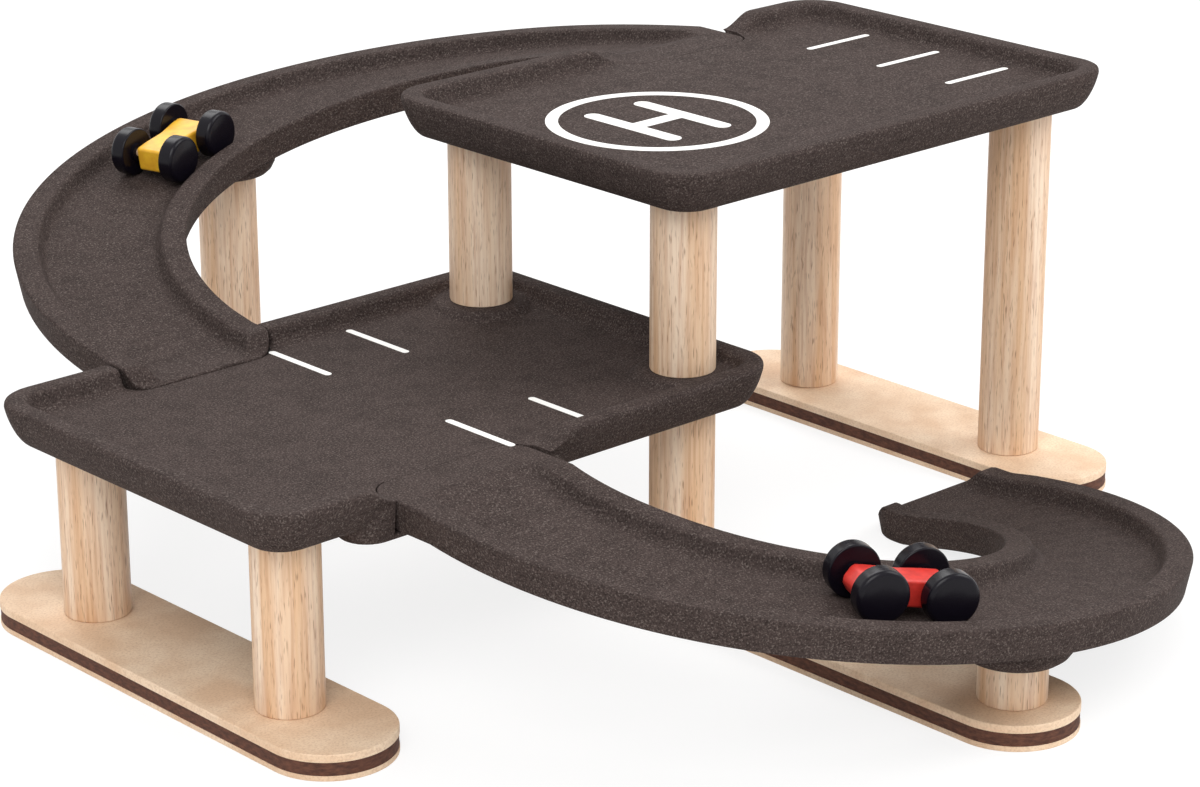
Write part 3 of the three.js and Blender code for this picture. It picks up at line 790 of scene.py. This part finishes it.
def make_deck(node, is_lower):
    """Both decks are made as the lower one; the upper one is then raised and turned half round."""
    edge = lower_low.y
    deck = tray(Vector((lower_low.x, edge, deck_bottom)), lower_high)
    deck.name = node + "_tray"
    combine(deck, ledge_tool(), "UNION")
    posts = [middle_of(name) for name in ("middle_front_upper_post", "middle_back_upper_post")]
    ends = [(edge, 1, ledge_top, nose_round)]
    if is_lower:
        for post in posts:
            combine(deck, collar_tool(post.x, post.y), "UNION")
        ends.append((-edge, -1, deck_floor - toe_seat, toe_nose_round))
    for edge_y, inwards, flare_bottom, rounding in ends:
        rim_foot = edge_y + inwards * rim_reach
        over = flare_tool(edge_y, rim_foot, deck_floor, deck_top, rounding)
        combine(deck, over, "DIFFERENCE")
        below = flare_tool(edge_y, rim_foot, flare_bottom, deck_floor, rounding)
        kept = add_block(
            (lower_low.x, edge_y + inwards * rounding, flare_bottom - overrun),
            (lower_high.x, edge_y + inwards * 2 * rim_reach, deck_floor + overrun))
        combine(below, kept, "DIFFERENCE")
        combine(deck, below, "DIFFERENCE")
    press_soft(deck)
    sink_rim_ends(deck, edge)
    tongue = pocket_tool(edge, -ramp_end, tongue_bottom, (tongue_corner, tongue_corner))
    combine(deck, tongue, "DIFFERENCE")
    if is_lower:
        corners = (toe_outer_corner, toe_inner_corner)
        combine(deck, pocket_tool(-edge, ramp_end, deck_floor - toe_seat, corners), "DIFFERENCE")
    seat_top = deck_bottom + pin_seat
    for post in posts:
        for x, hole_top in ((0, deck_top if is_lower else seat_top), (outer_row_x, seat_top)):
            hole = round_hole_tool(x, post.y, pin_hole_radius, deck_bottom - overrun, hole_top)
            combine(deck, hole, "DIFFERENCE")
    if not is_lower:
        take_upstairs(deck)
    smooth(deck, pressed_angle)
    dress(deck, composite, "garage", node)


make_deck("lower_deck", True)
make_deck("upper_deck", False)

# Ramps. One moulded shape used twice: a half-turn channel with broad rims. Its thick tongue lies
# in the upper deck's pocket, its thin toe in the deck or on the ground below, and a round boss
# under the middle stands on a post.
ramp_depth = 16 * mm
ramp_floor_thickness = 8 * mm
ramp_rim_width = 12 * mm
ramp_rim_slope = 3.8 * mm
ramp_draft = 3 * mm
ramp_rim_growth = 80 * mm
channel_dip = 30 * mm
channel_margin = 3 * mm
toe_flat = 1 * mm
toe_fade = 10 * mm
toe_rise = 1.2 * mm
toe_foot_round = 3 * mm
toe_top_round = 1.4 * mm
turn_offset = 15 * mm
turn_steps = 96
end_steps = 10
ramp_corners = [
    # distance outwards from the middle, height and rounding of each corner of the section
    (-ramp_width / 2 + ramp_draft, 0, 1 * mm),
    (-ramp_width / 2, ramp_depth, 1.6 * mm),
    (-ramp_width / 2 + ramp_rim_width, ramp_depth, 1.8 * mm),
    (-ramp_width / 2 + ramp_rim_width + ramp_rim_slope, ramp_floor_thickness, 3 * mm),
    (ramp_width / 2 - ramp_rim_width - ramp_rim_slope, ramp_floor_thickness, 3 * mm),
    (ramp_width / 2 - ramp_rim_width, ramp_depth, 1.8 * mm),
    (ramp_width / 2, ramp_depth, 1.6 * mm),
    (ramp_width / 2 - ramp_draft, 0, 1 * mm),
]
boss_profile = [
    # radius and height above the boss's foot
    (18 * mm, 0),
    (21 * mm, 1.05 * mm),
    (23.5 * mm, 3 * mm),
    (25.3 * mm, 6 * mm),
    (26.2 * mm, 10 * mm),
    (26.5 * mm, 17.5 * mm),
]

ramp_radius = -ramp_middle
turn_reach = ramp_end + tongue_length + turn_offset
start_length = turn_reach - ramp_end
turn_length = math.pi * ramp_radius
ramp_length = turn_length + 2 * start_length
foot_travel = ramp_length - tongue_length
ramp_fall = tongue_bottom / (turn_length + turn_offset)
boss_y = -turn_reach - ramp_radius
boss_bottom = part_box("front_ramp_post")[1].z


def underside_height(travel):
    return max(tongue_bottom - ramp_fall * max(travel - start_length, 0), 0)


def channel_height(travel):
    dip = math.sin(math.pi / 2 * min(max((travel - tongue_length) / channel_dip, 0), 1))
    thickness = mixed(tongue_thickness, ramp_floor_thickness, dip)
    foot = ease((travel - foot_travel) / tongue_length)
    return underside_height(travel) + mixed(thickness, toe_seat + toe_rise, foot)


def rim_line(travel):
    growth = ease((travel - start_length) / ramp_rim_growth)
    top = underside_height(travel) + mixed(tongue_thickness, ramp_depth, growth)
    floor = channel_height(travel)
    return floor + (top - floor) * ease((ramp_length - travel - toe_flat) / toe_fade)


def corner_reach(distance, corner):
    """Half the ramp's width at a distance from one of its ends, inside the rounded corners."""
    short = min(max(corner - distance, 0), corner)
    return ramp_width / 2 - corner + math.sqrt(corner * corner - short * short)


def shape_ramp(point):
    """Moves a point of the flat half ring to its place on the falling ramp."""
    if point.y > -turn_reach:
        side = -1 if point.x < 0 else 1
        outward = Vector((side, 0, 0))
        middle = Vector((side * ramp_radius, point.y, 0))
        gone = -ramp_end - point.y
        travel = gone if side < 0 else ramp_length - gone
    else:
        outward = Vector((point.x, point.y + turn_reach, 0)).normalized()
        middle = Vector((0, -turn_reach, 0)) + outward * ramp_radius
        angle = math.atan2(outward.y, outward.x) % (2 * math.pi) - math.pi
        travel = min(start_length + ramp_radius * angle, start_length + turn_length)
    across = (Vector((point.x, point.y, 0)) - middle).dot(outward)
    toe_corner = toe_outer_corner if across > 0 else toe_inner_corner
    reach = min(corner_reach(travel, tongue_corner), corner_reach(ramp_length - travel, toe_corner))
    is_channel = abs(across) < ramp_width / 2 - ramp_rim_width + channel_margin
    across -= math.copysign(ramp_width / 2 - reach, across)
    floor, rim, bottom = channel_height(travel), rim_line(travel), underside_height(travel)
    if is_channel and point.z > 0:
        share = (point.z - ramp_floor_thickness) / (ramp_depth - ramp_floor_thickness)
        height = mixed(floor, rim, share)
    else:
        height = mixed(bottom, rim, point.z / ramp_depth)
    left = max(ramp_length - travel, 0)
    at_foot = point.z < ramp_floor_thickness / 2
    rounding = toe_foot_round if at_foot else toe_top_round
    if left < rounding:
        short = rounding - left
        inset = rounding - math.sqrt(rounding * rounding - short * short)
        height += inset if at_foot else -inset
    return middle + outward * across + Vector((0, 0, height))


def end_distances(corner):
    """Distances from the ramp's end at which its straight stretch is divided, finest at the end."""
    arc = [corner * (1 - math.cos(math.pi / 2 * step / end_steps)) for step in range(end_steps + 1)]
    return arc + [mixed(corner, start_length, step / end_steps) for step in range(1, end_steps + 1)]


def ramp_blank():
    """The section spun through half a turn, with a straight stretch at each end."""
    bpy.ops.mesh.primitive_circle_add(
        vertices=len(ramp_corners), radius=ramp_width / 2, fill_type="NGON", location=(0, 0, 0))
    blank = bpy.context.object
    corners = [(Vector((-ramp_radius - across, -turn_reach, height)), rounding)
               for across, height, rounding in ramp_corners]
    for vertex, (corner, _) in zip(blank.data.vertices, corners):
        vertex.co = corner
    open_piece(blank)
    for corner, rounding in corners:
        pick("verts", lambda vertex: (vertex.co - corner).length < closeness)
        bpy.ops.mesh.bevel(offset=rounding, segments=edge_steps, affect="VERTICES")
    bpy.ops.mesh.select_all(action="SELECT")
    bpy.ops.mesh.spin(
        steps=turn_steps, angle=-math.pi, center=(0, -turn_reach, 0), axis=(0, 0, 1))
    for side, corner in ((-1, tongue_corner), (1, toe_inner_corner)):
        distances = end_distances(corner)[::-1]
        pick("faces", lambda face: abs(face.normal.y) > squarely
             and abs(face.calc_center_median().y + turn_reach) < closeness
             and face.calc_center_median().x * side > 0)
        for before, after in zip(distances, distances[1:]):
            draw_out(0, before - after, 0)
    close_piece()
    return blank


def boss_tool():
    """The round boss under the middle of the ramp, its top following the slope inside the ramp."""
    bpy.ops.mesh.primitive_circle_add(
        vertices=post_facets, radius=boss_profile[0][0], fill_type="NGON",
        location=(0, boss_y, boss_bottom))
    boss = bpy.context.object
    settle(boss)
    open_piece(boss)
    bpy.ops.mesh.select_all(action="SELECT")
    draw_rings(boss_profile)
    bpy.ops.mesh.select_all(action="SELECT")
    bpy.ops.mesh.normals_make_consistent(inside=False)
    close_piece()
    for vertex in boss.data.vertices:
        share = (vertex.co.z - boss_bottom) / boss_profile[-1][1]
        vertex.co.z -= share * ramp_fall * vertex.co.x
    return boss


def make_ramps():
    ramp = ramp_blank()
    for vertex in ramp.data.vertices:
        vertex.co = shape_ramp(vertex.co)
    open_piece(ramp)
    bpy.ops.mesh.select_all(action="SELECT")
    bpy.ops.mesh.remove_doubles(threshold=2 * closeness)
    bpy.ops.mesh.normals_make_consistent(inside=False)
    close_piece()
    combine(ramp, boss_tool(), "UNION")
    hole = round_hole_tool(
        0, boss_y, pin_hole_radius, boss_bottom - overrun, boss_bottom + pin_hole_depth)
    combine(ramp, hole, "DIFFERENCE")
    ramp.name = "lower_ramp_channel"
    smooth(ramp, pressed_angle)
    upper = ramp.copy()
    upper.data = ramp.data.copy()
    upper.name = "upper_ramp_channel"
    scene.collection.objects.link(upper)
    take_upstairs(upper)
    dress(ramp, composite, "garage", "lower_ramp")
    dress(upper, composite, "garage", "upper_ramp")


make_ramps()

# Markings. White bay lines and a landing mark, a ring round two bars and a cross bar, printed on
# the decks in thick white ink.
ink_white = "#f6f4f0"
ink_thickness = 0.15 * mm
ink_depth = 0.1 * mm
ink_end_share = 0.98
ink_end_steps = 8
line_width = 3.6 * mm
bay_lines = [
    # name, and the middle and the length of the line in mm
    ("lower_bay_line_1", -115, 62.5, 44),
    ("lower_bay_line_2", -69.5, 62.5, 44),
    ("lower_bay_line_3", -115, -62.5, 44),
    ("lower_bay_line_4", -69.5, -66.8, 46.5),
    ("upper_bay_line_1", 219, 45.5, 44),
    ("upper_bay_line_2", 219, -2, 44),
    ("upper_bay_line_3", 219, -47, 44),
]
mark_centre = (48.5 * mm, -1.2 * mm)
mark_turn = math.radians(0.5)
ring_outer = 52 * mm
ring_width = 6 * mm
mark_bar_length = 61 * mm
mark_bar_width = 8.5 * mm
mark_bar_spacing = 32 * mm


def printed_ink():
    """Thick white screen-print ink on a rough ground: matt, faintly uneven."""
    material, tree, shader, place = new_material("printed_ink")
    grain = add_node(tree, "ShaderNodeTexNoise",
                     {"Vector": place, "Scale": 1 / composite_grain, "Detail": 3})
    relief = add_node(tree, "ShaderNodeBump",
                      {"Height": grain, "Strength": 0.15, "Distance": 0.2 * mm})
    set_inputs(tree, shader, {"Base Color": linear(ink_white), "Roughness": 0.55, "Normal": relief})
    return material


def ink_bar(x, y, z, length, width, along_x):
    """A printed bar with round ends, its underside just inside the floor."""
    half = Vector((length, width, 0) if along_x else (width, length, 0)) / 2
    middle = Vector((x, y, z))
    low = middle - half - Vector((0, 0, ink_depth))
    bar = add_block(low, middle + half + Vector((0, 0, ink_thickness)))
    open_piece(bar)
    pick("edges", is_upright)
    round_edges(ink_end_share * width / 2, ink_end_steps)
    close_piece()
    return bar


def finish_marking(marking, name):
    marking.name = name
    settle(marking)
    give_finish(marking, ink)
    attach(marking, "garage")


ink = printed_ink()
upper_floor = deck_floor + storey_rise
for name, x, y, length in bay_lines:
    is_upper = name.startswith("upper")
    floor_z = upper_floor if is_upper else deck_floor
    bar = ink_bar(x * mm, y * mm, floor_z, length * mm, line_width, is_upper)
    finish_marking(bar, name)

x, y = mark_centre
ring = round_hole_tool(x, y, ring_outer, upper_floor - ink_depth, upper_floor + ink_thickness)
hole = round_hole_tool(
    x, y, ring_outer - ring_width, upper_floor - overrun, upper_floor + overrun)
combine(ring, hole, "DIFFERENCE")
finish_marking(ring, "landing_ring")

half = mark_bar_spacing / 2
mark = ink_bar(-half, 0, upper_floor, mark_bar_length, mark_bar_width, False)
for x, length, along_x in ((half, mark_bar_length, False), (0, mark_bar_spacing, True)):
    combine(mark, ink_bar(x, 0, upper_floor, length, mark_bar_width, along_x), "UNION")
mark.matrix_world = Matrix.Translation((*mark_centre, 0)) @ Matrix.Rotation(mark_turn, 4, "Z")
finish_marking(mark, "landing_bars")

# Cars. Small wooden racers: a painted body with a waist between the wheels, a ridged tail and
# chamfered edges, on two hardwood axles with thick black lacquered wheels.
wheel_radius = 11.75 * mm
wheel_thickness = 8 * mm
wheel_edge_round = 2 * mm
wheel_edge_steps = 6
wheel_inner_round = 0.8 * mm
wheel_inner_steps = 4
wheel_dome = 0.5 * mm
wheel_dome_rings = 3
wheel_dome_inset = 0.2
wheel_track = 31 * mm
wheel_facets = 72
hub_radius = 4.5 * mm
hub_length = 1 * mm
axle_radius = 2 * mm
axle_facets = 48
axle_gap = 0.03 * mm
axle_bore = 2.09 * mm
axle_seat = 5 * mm
axle_end_gap = 0.4 * mm
body_clearance = 4 * mm
body_height = 12 * mm
body_front = 19.55 * mm
body_rear = -18.55 * mm
body_shoulder = 12.7 * mm
body_tail = 4 * mm
body_tail_height = 3 * mm
body_rear_width = 20 * mm
body_waist_width = 15.6 * mm
body_shoulder_width = 17.2 * mm
body_front_width = 16 * mm
body_chamfer = 1.4 * mm
body_chamfer_steps = 3
turned_angle = 40
red_bright = "#e0382e"
red_deep = "#c12a22"
yellow_bright = "#f6c02e"
yellow_deep = "#e6a526"
lacquer_black = "#100d15"
paint_cloud = 5 * mm
lacquer_peel = 2.5 * mm


def painted_wood(name, bright, deep):
    """Stained and varnished wood: a strong colour that thins a little along the grain."""
    material, tree, shader, place = new_material(name)
    cloud = add_node(tree, "ShaderNodeTexNoise",
                     {"Vector": place, "Scale": 1 / paint_cloud, "Detail": 4, "Roughness": 0.6})
    relief = add_node(tree, "ShaderNodeBump",
                      {"Height": cloud, "Strength": 0.05, "Distance": 0.2 * mm})
    set_inputs(tree, shader, {
        "Base Color": lay_colours(tree, bright, [(cloud, 0.35, 0.7, 1, deep)]),
        "Roughness": 0.45,
        "Coat Weight": 0.2,
        "Coat Roughness": 0.3,
        "Normal": relief,
    })
    return material


def black_lacquer():
    """Dipped black lacquer on wood: deep blue-black, satin, with a slight orange peel."""
    material, tree, shader, place = new_material("black_lacquer")
    peel = add_node(tree, "ShaderNodeTexNoise", {"Vector": place, "Scale": 1 / lacquer_peel})
    relief = add_node(tree, "ShaderNodeBump",
                      {"Height": peel, "Strength": 0.08, "Distance": 0.3 * mm})
    set_inputs(tree, shader, {
        "Base Color": linear(lacquer_black),
        "Roughness": 0.25,
        "Specular IOR Level": 0.2,
        "Normal": relief,
    })
    return material


def car_frame(colour):
    """Turns the car's own frame, +X forward, +Y left and the road at Z 0, into the garage's."""
    joints = {joint["name"]: joint for joint in frame["joints"]}
    front = Vector(joints[colour + "_car_front_wheels_spin"]["pos_m"])
    rear = Vector(joints[colour + "_car_rear_wheels_spin"]["pos_m"])
    left = Vector(joints[colour + "_car_front_wheels_spin"]["axis"]).normalized()
    ahead = (front - rear).normalized()
    up = ahead.cross(left).normalized()
    matrix = Matrix((ahead, left, up)).transposed().to_4x4()
    matrix.translation = (front + rear) / 2 - up * wheel_radius
    return matrix, (front - rear).length


def axle_tool(x, radius, reach):
    middle = (x, 0, wheel_radius)
    return add_cylinder(axle_facets, radius, 2 * reach, middle, (math.pi / 2, 0, 0))


def stretch_end(sign, length, width_scale, height_scale=1):
    """Pulls the open body's front or rear face on and narrows it."""
    pick("faces", lambda face: face.normal.x * sign > squarely)
    draw_out(sign * length, 0, 0)
    bpy.ops.transform.resize(value=(1, width_scale, height_scale))


def make_car_body(colour, material, matrix, wheelbase):
    half = body_rear_width / 2
    body = add_block(
        (body_rear, -half, body_clearance), (-body_shoulder, half, body_clearance + body_height))
    open_piece(body)
    stretch_end(1, body_shoulder, body_waist_width / body_rear_width)
    stretch_end(1, body_shoulder, body_shoulder_width / body_waist_width)
    stretch_end(1, body_front - body_shoulder, body_front_width / body_shoulder_width)
    stretch_end(-1, body_tail, body_waist_width / body_rear_width, body_tail_height / body_height)
    bpy.ops.mesh.select_mode(type="EDGE")
    bpy.ops.mesh.select_all(action="SELECT")
    round_edges(body_chamfer, body_chamfer_steps, clamped=True)
    close_piece()
    for x in (-wheelbase / 2, wheelbase / 2):
        combine(body, axle_tool(x, axle_bore, body_rear_width), "DIFFERENCE")
    body.name = colour + "_car_block"
    body.matrix_world = matrix
    settle(body)
    smooth(body, turned_angle)
    dress(body, material, colour + "_car", colour + "_car_body")


def on_wheel(edge, y, least_radius):
    """Whether an edge lies in the wheel's plane at y, no nearer to its axle than a radius."""
    return all(abs(v.co.y - y) < closeness and math.hypot(v.co.x, v.co.z) > least_radius
               for v in edge.verts)


def make_wheel():
    """One wheel in the car's frame, its outer face towards +Y, centred on the origin."""
    half = wheel_thickness / 2
    wheel = add_cylinder(wheel_facets, wheel_radius, wheel_thickness, (0, 0, 0), (-math.pi / 2, 0, 0))
    open_piece(wheel)
    pick("faces", lambda face: face.normal.y > squarely)
    for ring in range(wheel_dome_rings):
        bpy.ops.mesh.inset(thickness=wheel_radius * wheel_dome_inset, depth=0)
        bpy.ops.transform.translate(value=(0, wheel_dome / wheel_dome_rings, 0))
    pick("edges", lambda edge: on_wheel(edge, half, squarely * wheel_radius))
    round_edges(wheel_edge_round, wheel_edge_steps)
    pick("edges", lambda edge: on_wheel(edge, -half, 0))
    round_edges(wheel_inner_round, wheel_inner_steps)
    pick("faces", lambda face: face.normal.y < -squarely)
    bpy.ops.mesh.inset(thickness=wheel_radius - wheel_inner_round - hub_radius)
    draw_out(0, -hub_length, 0)
    bpy.ops.mesh.inset(thickness=hub_radius - axle_radius - axle_gap)
    draw_out(0, hub_length + axle_seat + axle_end_gap, 0)
    close_piece()
    for vertex in wheel.data.vertices:
        vertex.co.y -= wheel_dome
    smooth(wheel, turned_angle)
    return wheel


def make_wheels(colour, matrix, wheelbase):
    axle_reach = wheel_track / 2 - wheel_thickness / 2 + axle_seat
    for end, x in (("front", wheelbase / 2), ("rear", -wheelbase / 2)):
        body = f"{colour}_car_{end}_wheels"
        axle = axle_tool(x, axle_radius, axle_reach)
        axle.name = f"{colour}_car_{end}_axle_rod"
        axle.matrix_world = matrix
        settle(axle)
        smooth(axle)
        dress(axle, hardwood, body, f"{colour}_car_{end}_axle")
        for side, sign, turned in (("left", 1, 0), ("right", -1, math.pi)):
            wheel = make_wheel()
            wheel.name = f"{colour}_car_{end}_{side}_disc"
            place = Matrix.Translation((x, sign * wheel_track / 2, wheel_radius))
            wheel.matrix_world = matrix @ place @ Matrix.Rotation(turned, 4, "Z")
            settle(wheel)
            dress(wheel, lacquer, body, f"{colour}_car_{end}_{side}_wheel")


lacquer = black_lacquer()
for colour, bright, deep in (
    ("red", red_bright, red_deep),
    ("yellow", yellow_bright, yellow_deep),
):
    matrix, wheelbase = car_frame(colour)
    paint = painted_wood(colour + "_painted_wood", bright, deep)
    make_car_body(colour, paint, matrix, wheelbase)
    make_wheels(colour, matrix, wheelbase)
